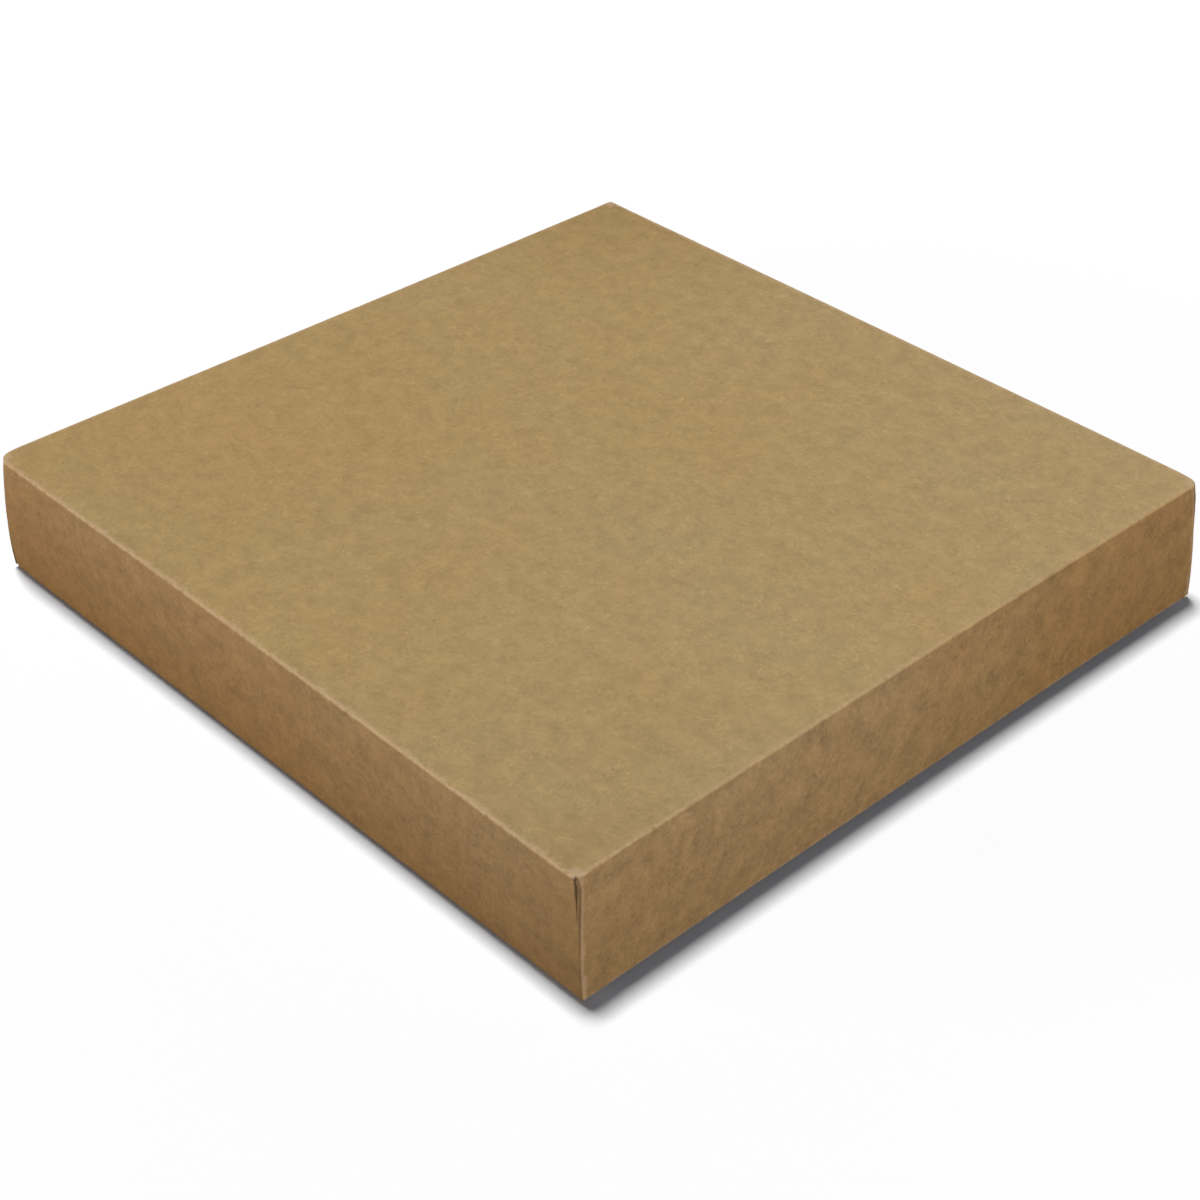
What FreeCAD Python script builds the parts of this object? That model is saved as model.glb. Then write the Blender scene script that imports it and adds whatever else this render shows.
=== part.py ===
"""Square, flat cake box of brown paperboard: a tray-style base under a full-depth lift-off lid.

Lid and base are each one sheet, cut and creased flat and folded up without glue. The front and back walls are a
single layer whose ends turn the corner and go on as ears. The side walls roll over: each goes up to its rim, turns
through two close folds, and comes back down inside as a second wall, so that the ears are held between its layers.
The base stands with its panel on the floor. The lid is the same fold turned over, and its walls reach nearly to the
floor, so that the closed box shows the lid alone.

Both trays are drawn in a frame of their own, with the outer face of the panel at height 0 and the walls going up.
One quarter is modelled and then mirrored twice. Millimetres; +Z is up, and the origin is under the middle of the box.
"""
import FreeCAD, Part
import os
import Sketcher

SIZES = [
    ("box_length", "250", "outside of the closed box along X"),
    ("box_width", "250", "outside of the closed box along Y"),
    ("box_height", "40", "floor to the top of the lid"),
    ("board", "0.5", "thickness of the paperboard"),
    ("layer_gap", "0.2", "air between two layers of a folded wall"),
    ("crease_bend", "0.4", "inside radius of the creases round a panel"),
    ("corner_bend", "0.4", "inside radius of the upright folds at the corners"),
    ("rim_bend", "0.15", "inside radius of the two close folds along a rolled rim"),
    ("ear_length", "48", "reach of an ear from its corner along the side wall"),
    ("ear_slant", "4", "height that each edge of an ear loses towards its free end"),
    ("slit_at_crease", "1.3", "gap at a corner beside the side wall, next to the panel"),
    ("slit_at_rim", "0.7", "the same gap at the rim, where the wall is wider"),
    ("tuck_slant", "2.5", "length that each end of an inner wall loses towards its free edge"),
    ("side_clearance", "0.6", "space between the walls of lid and base, on each side"),
    ("top_clearance", "0.3", "space between the base's rim and the lid's panel"),
    ("floor_clearance", "0.5", "height of the lid's rim above the floor"),
]

BOARD = "sizes.board"
GAP = "sizes.layer_gap"
CREASE_RADIUS = "(sizes.crease_bend + sizes.board)"
CORNER_RADIUS = "(sizes.corner_bend + sizes.board)"
RIM_RADIUS = "(sizes.rim_bend + sizes.board)"
ROLLED_WALL = "(3 * sizes.board + 2 * sizes.layer_gap)"
OVERLAP = "sizes.board"


def write_sheet(doc):
    """Puts the driving dimensions, with their aliases and notes, into the spreadsheet."""
    sheet = doc.addObject("Spreadsheet::Sheet", "sizes")
    for row, (alias, value, note) in enumerate(SIZES, start=1):
        sheet.set(f"A{row}", alias)
        sheet.set(f"B{row}", value)
        sheet.set(f"C{row}", note)
        sheet.setAlias(f"B{row}", alias)
    doc.recompute()
    return sheet


def origin_plane(body, role):
    """The body's own origin plane with this role, such as XZ_Plane."""
    return next(plane for plane in body.Origin.OriginFeatures if plane.Role == role)


def dimension(sketch, kind, geometry, point, expression):
    """Fixes one coordinate of a point of the sketch, or an arc's radius, to an expression."""
    value = float(sketch.evalExpression(expression))
    if kind == "Radius":
        index = sketch.addConstraint(Sketcher.Constraint(kind, geometry, value))
    else:
        index = sketch.addConstraint(Sketcher.Constraint(kind, -1, 1, geometry, point, value))
    sketch.setExpression(f"Constraints[{index}]", expression)


def draw_outline(sketch, corners):
    """Draws a closed outline and constrains it fully.

    Each corner is (across, up, radius), as expressions, with radius None where it is sharp. Straight sides are drawn
    first, then the round corners. A level side is dimensioned by its height and an upright side by its distance
    across. A sharp corner between slanted sides gets the dimensions that its sides don't give it.
    """
    count = len(corners)
    spots = [FreeCAD.Vector(*(float(sketch.evalExpression(text)) for text in corner[:2])) for corner in corners]
    radii = [corner[2] and float(sketch.evalExpression(corner[2])) for corner in corners]
    ways = [(spots[(i + 1) % count] - spots[i]).normalize() for i in range(count)]
    starts = [spots[i] + ways[i] * (radii[i] or 0) for i in range(count)]
    ends = [spots[(i + 1) % count] - ways[i] * (radii[(i + 1) % count] or 0) for i in range(count)]
    level = [corners[i][1] == corners[(i + 1) % count][1] for i in range(count)]
    upright = [corners[i][0] == corners[(i + 1) % count][0] for i in range(count)]
    for i in range(count):
        sketch.addGeometry(Part.LineSegment(starts[i], ends[i]))
        if level[i]:
            sketch.addConstraint(Sketcher.Constraint("Horizontal", i))
            dimension(sketch, "DistanceY", i, 1, corners[i][1])
        if upright[i]:
            sketch.addConstraint(Sketcher.Constraint("Vertical", i))
            dimension(sketch, "DistanceX", i, 1, corners[i][0])
    for i in range(count):
        before = i - 1 if i else count - 1
        if radii[i]:
            round_corner(sketch, before, i, spots[i], ends[before], starts[i], corners[i][2])
            continue
        sketch.addConstraint(Sketcher.Constraint("Coincident", before, 2, i, 1))
        if not (upright[before] or upright[i]):
            dimension(sketch, "DistanceX", i, 1, corners[i][0])
        if not (level[before] or level[i]):
            dimension(sketch, "DistanceY", i, 1, corners[i][1])


def round_corner(sketch, before, after, corner, start, end, radius):
    """Joins two straight sides by an arc that is tangent to both."""
    centre = start + end - corner
    outward = (corner - centre).normalize()
    middle = centre + outward * start.distanceToPoint(centre)
    arc = sketch.addGeometry(Part.Arc(start, middle, end))
    turns_left = (corner - start).cross(end - corner).z > 0
    first, last = (1, 2) if turns_left else (2, 1)
    sketch.addConstraint(Sketcher.Constraint("Tangent", before, 2, arc, first))
    sketch.addConstraint(Sketcher.Constraint("Tangent", after, 1, arc, last))
    dimension(sketch, "Radius", arc, None, radius)


def outline(body, name, role, corners, offset="0"):
    """A sketch on one of the body's origin planes, moved along the plane's normal by offset."""
    sketch = body.newObject("Sketcher::SketchObject", name)
    sketch.AttachmentSupport = [(origin_plane(body, role), "")]
    sketch.MapMode = "FlatFace"
    sketch.setExpression(".AttachmentOffset.Base.z", offset)
    sketch.Document.recompute()
    draw_outline(sketch, corners)
    return sketch


def pad(body, name, sketch, length, towards_normal=True):
    """Adds the sketch's outline, carried along its plane's normal, to the body."""
    feature = body.newObject("PartDesign::Pad", name)
    feature.Profile = sketch
    feature.setExpression("Length", length)
    feature.Reversed = not towards_normal
    feature.Refine = True
    return feature


def cut_both_ways(body, name, sketch):
    """Takes the sketch's outline out of all that the body has so far, and makes sure that it cut something."""
    body.Document.recompute()
    before = body.Tip.Shape.Volume
    feature = body.newObject("PartDesign::Pocket", name)
    feature.Profile = sketch
    feature.Type = "ThroughAll"
    feature.Midplane = True
    body.Document.recompute()
    if not feature.Shape.Volume < before:
        raise RuntimeError(f"{name} cuts nothing")
    return feature


def mirror_whole(body, name, role):
    """Doubles the whole body across one of its origin planes."""
    feature = body.newObject("PartDesign::Mirrored", name)
    feature.TransformMode = "Whole shape"
    feature.MirrorPlane = (origin_plane(body, role), [""])
    feature.Refine = True
    body.Tip = feature
    body.Document.recompute()


class Tray:
    """One sheet of board folded into a tray, built a quarter at a time in the tray's own frame."""

    def __init__(self, doc, label, length, width, depth):
        """Starts the body; length, width and depth are the tray's outside sizes as expressions."""
        self.body = doc.addObject("PartDesign::Body", label)
        self.body.Label = label
        self.side = f"({length}) / 2"
        self.front = f"({width}) / 2"
        self.depth = f"({depth})"
        self.ear_face = f"{self.side} - {BOARD} - {GAP}"
        self.fold_start = f"{self.ear_face} - {CORNER_RADIUS}"
        self.fold_foot = f"{CREASE_RADIUS} + {GAP}"

    def build(self):
        """Makes every feature in folding order and mirrors the quarter into the whole tray."""
        self.roll_over()
        self.side_wall()
        self.front_wall()
        self.front_crease()
        self.corner_fold()
        self.ear()
        mirror_whole(self.body, "front_and_back", "XZ_Plane")
        mirror_whole(self.body, "left_and_right", "YZ_Plane")
        return self.body

    def wall_section(self, edge, top, crease):
        """Corners of the panel and one wall in section: panel outward, crease, then the wall up to top."""
        inner = f"{edge} - {BOARD}"
        return [
            ("0", "0", None),
            (edge, "0", crease),
            (edge, top, None),
            (inner, top, None),
            (inner, BOARD, "sizes.crease_bend"),
            ("0", BOARD, None),
        ]

    def roll_over(self):
        """The rolled rim of the side wall and the inner wall that hangs from it, its ends slanted back."""
        side, depth = self.side, self.depth
        foot = f"{depth} - {RIM_RADIUS} - {OVERLAP}"
        inner_face = f"{side} - {ROLLED_WALL}"
        free_edge = f"{BOARD} + {GAP}"
        section = outline(self.body, "roll_over_section", "XZ_Plane", [
            (side, foot, None),
            (side, depth, RIM_RADIUS),
            (inner_face, depth, RIM_RADIUS),
            (inner_face, free_edge, None),
            (f"{inner_face} + {BOARD}", free_edge, None),
            (f"{inner_face} + {BOARD}", f"{depth} - {BOARD}", "sizes.rim_bend"),
            (f"{side} - {BOARD}", f"{depth} - {BOARD}", "sizes.rim_bend"),
            (f"{side} - {BOARD}", foot, None),
        ])
        end = f"{self.front} - {CORNER_RADIUS} - 3 * {GAP}"
        pad(self.body, "roll_over", section, end, towards_normal=False)
        trim = outline(self.body, "inner_wall_slant", "YZ_Plane", [
            (f"{end} - sizes.tuck_slant", "0", None),
            (self.front, "0", None),
            (self.front, f"{depth} - {RIM_RADIUS}", None),
            (end, f"{depth} - {RIM_RADIUS}", None),
        ])
        cut_both_ways(self.body, "inner_wall_ends", trim)

    def side_wall(self):
        """The panel's side crease and the outer wall on it, whose end slants so that the slit closes to the rim."""
        top = f"{self.depth} - {RIM_RADIUS}"
        section = outline(self.body, "side_section", "XZ_Plane", self.wall_section(self.side, top, CREASE_RADIUS))
        pad(self.body, "side_wall", section, f"{self.front} - sizes.slit_at_rim", towards_normal=False)
        trim = outline(self.body, "slit_slant", "YZ_Plane", [
            (f"{self.front} - sizes.slit_at_crease", "0", None),
            (self.front, "0", None),
            (self.front, self.depth, None),
            (f"{self.front} - sizes.slit_at_rim", self.depth, None),
        ])
        cut_both_ways(self.body, "corner_slit", trim)

    def front_wall(self):
        """The single front wall, with its crease, as far as the start of the corner fold."""
        corners = self.wall_section(self.front, self.depth, CREASE_RADIUS)
        pad(self.body, "front_wall", outline(self.body, "front_section", "YZ_Plane", corners), self.fold_start)

    def front_crease(self):
        """The front crease goes on past the wall, under the corner fold, to where the side crease begins."""
        corners = self.wall_section(self.front, self.fold_foot, CREASE_RADIUS)
        section = outline(self.body, "front_crease_section", "YZ_Plane", corners)
        pad(self.body, "front_crease", section, f"{self.side} - {CREASE_RADIUS}")

    def corner_fold(self):
        """The upright fold that takes the front wall round the corner and behind the side wall."""
        front, face = self.front, self.ear_face
        start = f"{self.fold_start} - {OVERLAP}"
        end = f"{front} - {CORNER_RADIUS} - {GAP}"
        section = outline(self.body, "corner_section", "XY_Plane", [
            (start, f"{front} - {BOARD}", None),
            (f"{face} - {BOARD}", f"{front} - {BOARD}", "sizes.corner_bend"),
            (f"{face} - {BOARD}", end, None),
            (face, end, None),
            (face, front, CORNER_RADIUS),
            (start, front, None),
        ], self.fold_foot)
        pad(self.body, "corner_fold", section, f"{self.depth} - ({self.fold_foot})")

    def ear(self):
        """The ear between the two layers of the side wall: lower than the front wall, and tapering to its end."""
        near = f"{self.front} - {CORNER_RADIUS}"
        far = f"{self.front} - sizes.ear_length"
        low = self.fold_foot
        high = f"{self.depth} - {BOARD} - {GAP}"
        section = outline(self.body, "ear_outline", "YZ_Plane", [
            (near, low, None),
            (near, high, None),
            (far, f"{high} - sizes.ear_slant", None),
            (far, f"{low} + sizes.ear_slant", None),
        ], f"{self.ear_face} - {BOARD}")
        pad(self.body, "ear", section, BOARD)


def make_lid(doc):
    """The lid: a tray over the whole outside, turned over so that its panel is on top."""
    lid = Tray(doc, "lid", "sizes.box_length", "sizes.box_width", "sizes.box_height - sizes.floor_clearance").build()
    lid.Placement = FreeCAD.Placement(FreeCAD.Vector(), FreeCAD.Rotation(FreeCAD.Vector(1, 0, 0), 180))
    lid.setExpression(".Placement.Base.z", "sizes.box_height")
    return lid


def make_base(doc):
    """The base: a tray that fills the lid's hollow, less a clearance on every side and under the lid's panel."""
    length = f"sizes.box_length - 2 * ({ROLLED_WALL} + sizes.side_clearance)"
    width = "sizes.box_width - 2 * (sizes.board + sizes.side_clearance)"
    depth = "sizes.box_height - sizes.board - sizes.top_clearance"
    return Tray(doc, "base", length, width, depth).build()


def check(doc, bodies):
    """Stops the build if any object failed, or if a body isn't one valid solid."""
    for item in doc.Objects:
        if {"Invalid", "Error"} & set(item.State):
            raise RuntimeError(f"{item.Name} failed: {item.State}")
    for body in bodies:
        if body.Shape.isNull() or not body.Shape.isValid() or len(body.Shape.Solids) != 1:
            raise RuntimeError(f"{body.Label} isn't one valid solid")


def export(bodies):
    """Writes each body to a STEP file named after its label."""
    os.makedirs("parts", exist_ok=True)
    for body in bodies:
        body.Shape.exportStep(f"parts/{body.Label}.step")
        box = body.Shape.BoundBox
        print(f"{body.Label}: {body.Shape.Volume:.0f} mm3, z {box.ZMin:.2f} to {box.ZMax:.2f}")


doc = FreeCAD.newDocument("cake_box")
write_sheet(doc)
bodies = [make_base(doc), make_lid(doc)]
doc.recompute()
check(doc, bodies)
export(bodies)
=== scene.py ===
"""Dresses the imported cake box: a tray-style base under a full-depth lift-off lid, both folded from brown paperboard.

Each tray is worked out as one sheet of board. A point of the sheet is given by its place on the flat blank, across
and along it, and by how far it lies under the outer face. Folding is a function of those three numbers, and every
mesh is that function taken on a grid of the blank. All lengths are metres in the row frame: +Z is up, and the origin
is under the middle of the closed box.
"""
import logging
import math
from collections.abc import Iterable
from dataclasses import dataclass, field
from enum import Enum
from functools import reduce

import bpy
import numpy as np
from mathutils import Matrix, Vector


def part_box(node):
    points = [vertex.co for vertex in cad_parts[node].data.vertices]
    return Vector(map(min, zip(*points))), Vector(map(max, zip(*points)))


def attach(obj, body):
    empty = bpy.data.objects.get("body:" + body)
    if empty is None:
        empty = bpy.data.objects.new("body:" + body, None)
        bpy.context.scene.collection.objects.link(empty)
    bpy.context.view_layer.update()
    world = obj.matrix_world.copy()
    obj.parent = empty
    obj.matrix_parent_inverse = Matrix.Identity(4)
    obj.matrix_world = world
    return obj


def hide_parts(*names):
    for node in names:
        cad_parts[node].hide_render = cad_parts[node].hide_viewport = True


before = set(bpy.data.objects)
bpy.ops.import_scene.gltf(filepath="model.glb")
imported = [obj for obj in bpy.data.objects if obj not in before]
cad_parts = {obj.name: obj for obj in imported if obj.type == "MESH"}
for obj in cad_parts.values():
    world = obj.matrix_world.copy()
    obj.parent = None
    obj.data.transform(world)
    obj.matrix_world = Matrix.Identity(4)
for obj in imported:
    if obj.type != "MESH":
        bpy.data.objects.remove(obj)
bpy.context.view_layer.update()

logging.basicConfig(level=logging.INFO, format="%(name)s: %(message)s")
LOG = logging.getLogger("cake_box")

MM = 0.001
QUARTER = math.pi / 2
BELLY_POWER = 1.5
BELLY_PEAK = 0.6
BELLY_SCALE = 1 / (BELLY_PEAK**BELLY_POWER * (1 - BELLY_PEAK))
BLANK_MIDDLE = 0.5
SMOOTH_BELOW = math.radians(35.0)
WELD_WITHIN = 0.001 * MM
SHIFT_ASPECT = 0.6
WHITE = (1.0, 1.0, 1.0)

Array = np.ndarray
Colour = tuple[float, float, float]
Patch = tuple[Array, Array, Array]
Socket = bpy.types.NodeSocket


class Way(Enum):
    """Which way a tray stands: open to the top, or turned over half a turn about X."""

    OPEN_UP = 1.0
    OPEN_DOWN = -1.0


class Face(Enum):
    """The material places of a folded sheet's mesh."""

    OUTSIDE = 0
    INSIDE = 1
    CUT_EDGE = 2


@dataclass(frozen=True)
class Run:
    """One stretch of a fold path: its length on the outer face and the angle that it turns to the left."""

    length: float
    turn: float = 0.0


@dataclass(frozen=True)
class FoldPath:
    """The section of a folded sheet: straight runs and arcs, from the origin and first along the first axis."""

    runs: tuple[Run, ...]

    def reach(self, count: int | None = None) -> float:
        """Length of the first count runs on the outer face, or of them all."""
        return sum(run.length for run in self.runs[:count])

    def at(self, distance: Array) -> tuple[Array, Array]:
        """Works out points of the path and the way from the outer face to the inner one.

        In a straight run the point moves along the heading. In a turn it goes round a centre on its left, at the
        radius that gives the run its length. The way inward is the heading turned a quarter to the left.

        Args:
            distance: lengths along the outer face from the start, none of them negative.

        Returns:
            The points and the inward unit vectors, each with a last axis of two.
        """
        distance = np.asarray(distance, dtype=float)
        point = np.zeros(distance.shape + (2,))
        heading = np.zeros(distance.shape)
        start, faces, passed = np.zeros(2), 0.0, 0.0
        for number, run in enumerate(self.runs):
            last = number == len(self.runs) - 1
            here = (distance >= passed) & ((distance < passed + run.length) | last)
            part = distance[here] - passed
            point[here], heading[here] = self.follow(start, faces, run, part)
            end, _ = self.follow(start, faces, run, np.array([run.length]))
            start, faces, passed = end[0], faces + run.turn, passed + run.length
        return point, np.stack([-np.sin(heading), np.cos(heading)], axis=-1)

    @staticmethod
    def follow(start: Array, faces: float, run: Run, part: Array) -> tuple[Array, Array]:
        """Points and headings at lengths part into one run that begins at start, heading faces."""
        if run.turn == 0.0:
            return start + part[:, None] * np.array([math.cos(faces), math.sin(faces)]), np.full(part.shape, faces)
        radius = run.length / run.turn
        angle = faces + part / radius
        centre = start + radius * np.array([-math.sin(faces), math.cos(faces)])
        return centre + radius * np.stack([np.sin(angle), -np.cos(angle)], axis=-1), angle


@dataclass(frozen=True)
class WallStand:
    """How far one wall stands out of its true plane, in millimetres, outward where positive.

    The crease and the rim each have a mean, a skew and a crown. The skew counts in full at the wall's end towards +X
    or +Y and is taken off at the other. The crown counts in full at mid-side. The belly is the same at half height.
    The corner folds hold most of the crease's distance back at the very ends of the wall.
    """

    crease: tuple[float, float, float] = (0.0, 0.0, 0.0)
    rim: tuple[float, float, float] = (0.0, 0.0, 0.0)
    belly: float = 0.0
    held: float = 0.9
    held_power: int = 60

    def out(self, along: Array, height: Array) -> Array:
        """Distance out of the true plane.

        Each level's distance is its mean, plus its skew times the share along, plus its crown times one less the
        square of that share. The crease's is then lessened by the held part times a high power of the share along. A
        point takes the two levels' distances in the shares of its height. The belly is added in the share given by
        the height to the power 1.5 times what is left above it, scaled so that it peaks at 1.

        Args:
            along: share of the way along the wall from its middle, from -1 to 1.
            height: share of the way from the crease to the rim.

        Returns:
            The distance in metres at each point.
        """
        crease, rim = (mean + skew * along + crown * (1 - along**2) for mean, skew, crown in (self.crease, self.rim))
        crease = crease * (1 - self.held * along**self.held_power)
        sag = BELLY_SCALE * height**BELLY_POWER * (1 - height)
        return MM * (crease * (1 - height) + rim * height + self.belly * sag)


@dataclass(frozen=True)
class Settling:
    """How the made-up tray's four walls have settled in use."""

    front: WallStand
    right: WallStand
    back: WallStand
    left: WallStand
    half_x: float = 125 * MM
    half_y: float = 125 * MM

    def moved(self, place: Array, height: Array) -> Array:
        """Moves points sideways, by their share of the way out from the middle times what the wall there stands out.

        Args:
            place: points, with a last axis of three.
            height: share of the way from the crease to the rim at each point.

        Returns:
            The moved points.
        """
        across, along = place[..., 0] / self.half_x, place[..., 1] / self.half_y
        out = place.copy()
        out[..., 0] += across * np.where(across > 0, self.right.out(along, height), self.left.out(along, height))
        out[..., 1] += along * np.where(along > 0, self.back.out(across, height), self.front.out(across, height))
        return out


@dataclass
class FoldedTray:
    """One sheet of board folded into a tray with two single walls and two rolled double walls.

    In the tray's own frame the outer face of the panel is at height 0 and the walls go up. The sheet's blank runs
    across from the middle of the panel over the side walls, and along it over the front and back walls.
    """

    name: str
    body: str
    way: Way
    settling: Settling
    board: float = 0.5 * MM
    layer_gap: float = 0.2 * MM
    crease_radius: float = 0.75 * MM
    corner_radius: float = 0.3 * MM
    ear_gap: float = 0.06 * MM
    rim_radius: float = 0.65 * MM
    ear_length: float = 48 * MM
    ear_slant: float = 4 * MM
    slit_length: float = 13 * MM
    slit_half: float = 0.25 * MM
    tuck_slant: float = 2.5 * MM
    flap_set_back: float = 1.25 * MM
    flap_overhang: float = 0.3 * MM
    inner_set_back: float = 1.5 * MM
    corner_rounding: float = 2.8 * MM
    rounding_height: float = 2.5 * MM
    cut_free: tuple[float, float] = (0.25 * MM, 0.2 * MM)
    crease_end_gap: float = 0.35 * MM
    crease_step: float = 0.1 * MM
    close_lines: tuple[float, ...] = (8.0, 6.0, 4.5, 3.2, 2.2, 1.4, 0.7, 0.0)
    even_lines: int = 44
    crease_steps: int = 8
    side_wall_steps: int = 14
    rim_steps: int = 5
    between_rims: int = 2
    inner_wall_steps: int = 12
    front_wall_steps: int = 16
    corner_steps: int = 6
    ear_steps: int = 18
    half_x: float = field(init=False)
    half_y: float = field(init=False)
    depth: float = field(init=False)
    panel_height: float = field(init=False)

    def __post_init__(self) -> None:
        """Takes the tray's outside sizes from its CAD node and works out its three fold paths."""
        low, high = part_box(self.name)
        self.half_x, self.half_y, self.depth = high.x, high.y, high.z - low.z
        self.panel_height = low.z if self.way is Way.OPEN_UP else high.z
        crease, rim = Run(self.crease_radius * QUARTER, QUARTER), Run(self.rim_radius * QUARTER, QUARTER)
        rolled = 3 * self.board + 2 * self.layer_gap
        free_edge = self.board + self.layer_gap
        self.side_path = FoldPath((
            Run(self.half_x - self.crease_radius),
            crease,
            Run(self.depth - self.crease_radius - self.rim_radius),
            rim,
            Run(rolled - 2 * self.rim_radius),
            rim,
            Run(self.depth - self.rim_radius - free_edge),
        ))
        self.front_path = FoldPath((
            Run(self.half_y - self.crease_radius),
            crease,
            Run(self.depth - self.crease_radius),
        ))
        self.corner_path = FoldPath((
            Run(self.half_x - self.board - self.ear_gap - self.corner_radius),
            Run(self.corner_radius * QUARTER, QUARTER),
            Run(self.ear_length - self.corner_radius),
        ))

    def side_fold(self, across: Array, along: Array, under: float) -> Array:
        """Folds a side flap: the side section is followed for the length across, and the length along stays."""
        point, inward = self.side_path.at(np.abs(across))
        section = point + under * inward
        return np.stack([np.sign(across) * section[..., 0], along, section[..., 1]], axis=-1)

    def front_fold(self, across: Array, along: Array, under: float) -> Array:
        """Folds the panel, a front or back wall and its ears.

        The front section is followed for the length along, which gives a height and a distance in from the wall's
        plane. The corner path is followed for the length across, and the point lies that distance to its left.

        Args:
            across: lengths across the blank.
            along: lengths along the blank, of the same shape.
            under: distance below the outer face.

        Returns:
            Points in the tray's frame.
        """
        point, inward = self.front_path.at(np.abs(along))
        section = point + under * inward
        step, left = self.corner_path.at(np.abs(across))
        plan = step + (self.half_y - section[..., :1]) * left
        side, front = np.sign(across), np.sign(along)
        return np.stack([side * plan[..., 0], front * (self.half_y - plan[..., 1]), section[..., 1]], axis=-1)

    def lines(self, edge: float) -> Array:
        """Distances of the panel's grid lines from its middle: even at first, and close together by the crease."""
        close = np.array(self.close_lines) * MM
        return np.concatenate([np.linspace(0, edge - close[0], self.even_lines), edge - close[1:]])

    def panel(self) -> Patch:
        """The panel's grid on the blank, as lengths across and along, and which of its cells are kept."""
        across = both_ways(self.lines(self.side_path.reach(1)))
        along = both_ways(self.lines(self.front_path.reach(1)))
        return (*np.meshgrid(across, along), np.ones((len(along) - 1, len(across) - 1), dtype=bool))

    def side_flap(self) -> Patch:
        """The right side flap's grid on the blank.

        Its lines across are spread over the crease, the outer wall, the two close folds of the rim and the inner
        wall. Its lines along are the panel's, narrowed at each place across to the width that the flap has there. A
        flap end is given by places across and how far it is set back from the front wall's plane at each: it is cut
        free in the crease, set back just above it, slants out to the rim, and is set back again on the inner wall.

        Returns:
            Lengths across and along, and which cells are kept.
        """
        rim = (self.rim_steps, self.between_rims, self.rim_steps)
        steps = (self.crease_steps, self.side_wall_steps, *rim, self.inner_wall_steps)
        marks = [self.side_path.reach(count) for count in range(1, len(self.side_path.runs) + 1)]
        across = spread(marks, steps)
        ends = np.array([
            (marks[0], self.crease_radius),
            (marks[0] + self.cut_free[0], self.cut_free[1]),
            (marks[1], self.crease_end_gap),
            (marks[1] + self.crease_step, self.flap_set_back),
            (marks[2], -self.flap_overhang),
            (marks[3], self.inner_set_back),
            (marks[5], self.inner_set_back),
            (marks[6], self.inner_set_back + self.tuck_slant),
        ])
        half_width = self.half_y - np.interp(across, ends[:, 0], ends[:, 1])
        panel_lines = both_ways(self.lines(self.front_path.reach(1)))
        along = panel_lines[:, None] * (half_width / self.front_path.reach(1))[None, :]
        across = np.broadcast_to(across, along.shape).copy()
        return across, along, np.ones((along.shape[0] - 1, along.shape[1] - 1), dtype=bool)

    def front_flap(self) -> Patch:
        """The back wall's grid on the blank, with an ear at each end.

        Lines along are spread over the crease, a narrow foot and the wall. Beyond the corner fold they draw together
        between the ear's slanted edges. In the corner fold they start farther from the crease, the more so the
        nearer they are to its middle, which leaves a narrow slit that comes to a point.

        Returns:
            Lengths across and along, and which cells are kept.
        """
        arc, wall_end, ear_end = (self.corner_path.reach(count) for count in (2, 1, 3))
        marks = [self.front_path.reach(1), self.front_path.reach(2)]
        foot = marks[1] + self.layer_gap
        top = self.front_path.reach()
        shoulder = top - self.board - self.layer_gap
        along = spread([*marks, foot, shoulder, top], (self.crease_steps, 1, self.front_wall_steps, 1))
        panel_lines = self.lines(self.side_path.reach(1))
        turns = spread([wall_end, arc, ear_end], (self.corner_steps, self.ear_steps))
        across = both_ways(np.concatenate([panel_lines[panel_lines < wall_end], turns]))
        far = np.clip((np.abs(across) - arc) / (ear_end - arc), 0, 1)
        slit_middle = turns[self.corner_steps // 3]
        slit = self.slit_length * np.clip(1 - np.abs(np.abs(across) - slit_middle) / self.slit_half, 0, 1)
        low = foot + slit + self.ear_slant * far
        high = shoulder - self.ear_slant * far
        share = ((along - foot) / (shoulder - foot))[:, None]
        between = (share >= 0) & (share <= 1)
        grid = np.where(between, low + share * (high - low), along[:, None] + 0 * across[None, :])
        rows, columns = (along[1:] + along[:-1]) / 2, (across[1:] + across[:-1]) / 2
        reach = np.abs(columns)[None, :]
        below, above = (rows < foot)[:, None], (rows > shoulder)[:, None]
        kept = np.where(below, reach < wall_end, np.where(above, reach < arc, True))
        return np.broadcast_to(across, grid.shape).copy(), grid, kept

    def place(self, points: Array) -> Array:
        """Puts points of the tray's frame into the row frame, and bends the walls a little as they have settled.

        The half turn of a tray that opens down keeps X and turns Y and Z round.

        Args:
            points: points in the tray's frame.

        Returns:
            The same points in the row frame.
        """
        turned = self.way.value
        stood = self.soften_corners(points) * np.array([1.0, turned, turned])
        height = np.clip(points[..., 2] / self.depth, 0, 1)
        return self.settling.moved(stood + np.array([0.0, 0.0, self.panel_height]), height)

    def soften_corners(self, points: Array) -> Array:
        """Rounds the panel's corners in plan, which rubbing and handling have done, and lets that fade up the walls.

        Within the rounding's radius of both walls a point's shares of that radius, p across and q along, become p
        times the root of one less half the square of q, and q times the root of one less half the square of p. That
        takes the square corner to a round one.

        Args:
            points: points in the tray's frame.

        Returns:
            The moved points.
        """
        radius = self.corner_rounding
        edges = np.array([self.half_x, self.half_y]) - radius
        inside = np.minimum(np.abs(points[..., :2]), edges)
        share = (np.abs(points[..., :2]) - inside) / radius
        round_share = share * np.sqrt(1 - share[..., ::-1] ** 2 / 2)
        fade = np.exp(-((points[..., 2:] / self.rounding_height) ** 2))
        moved = points.copy()
        moved[..., :2] += np.sign(points[..., :2]) * radius * (round_share - share) * fade
        return moved

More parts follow.
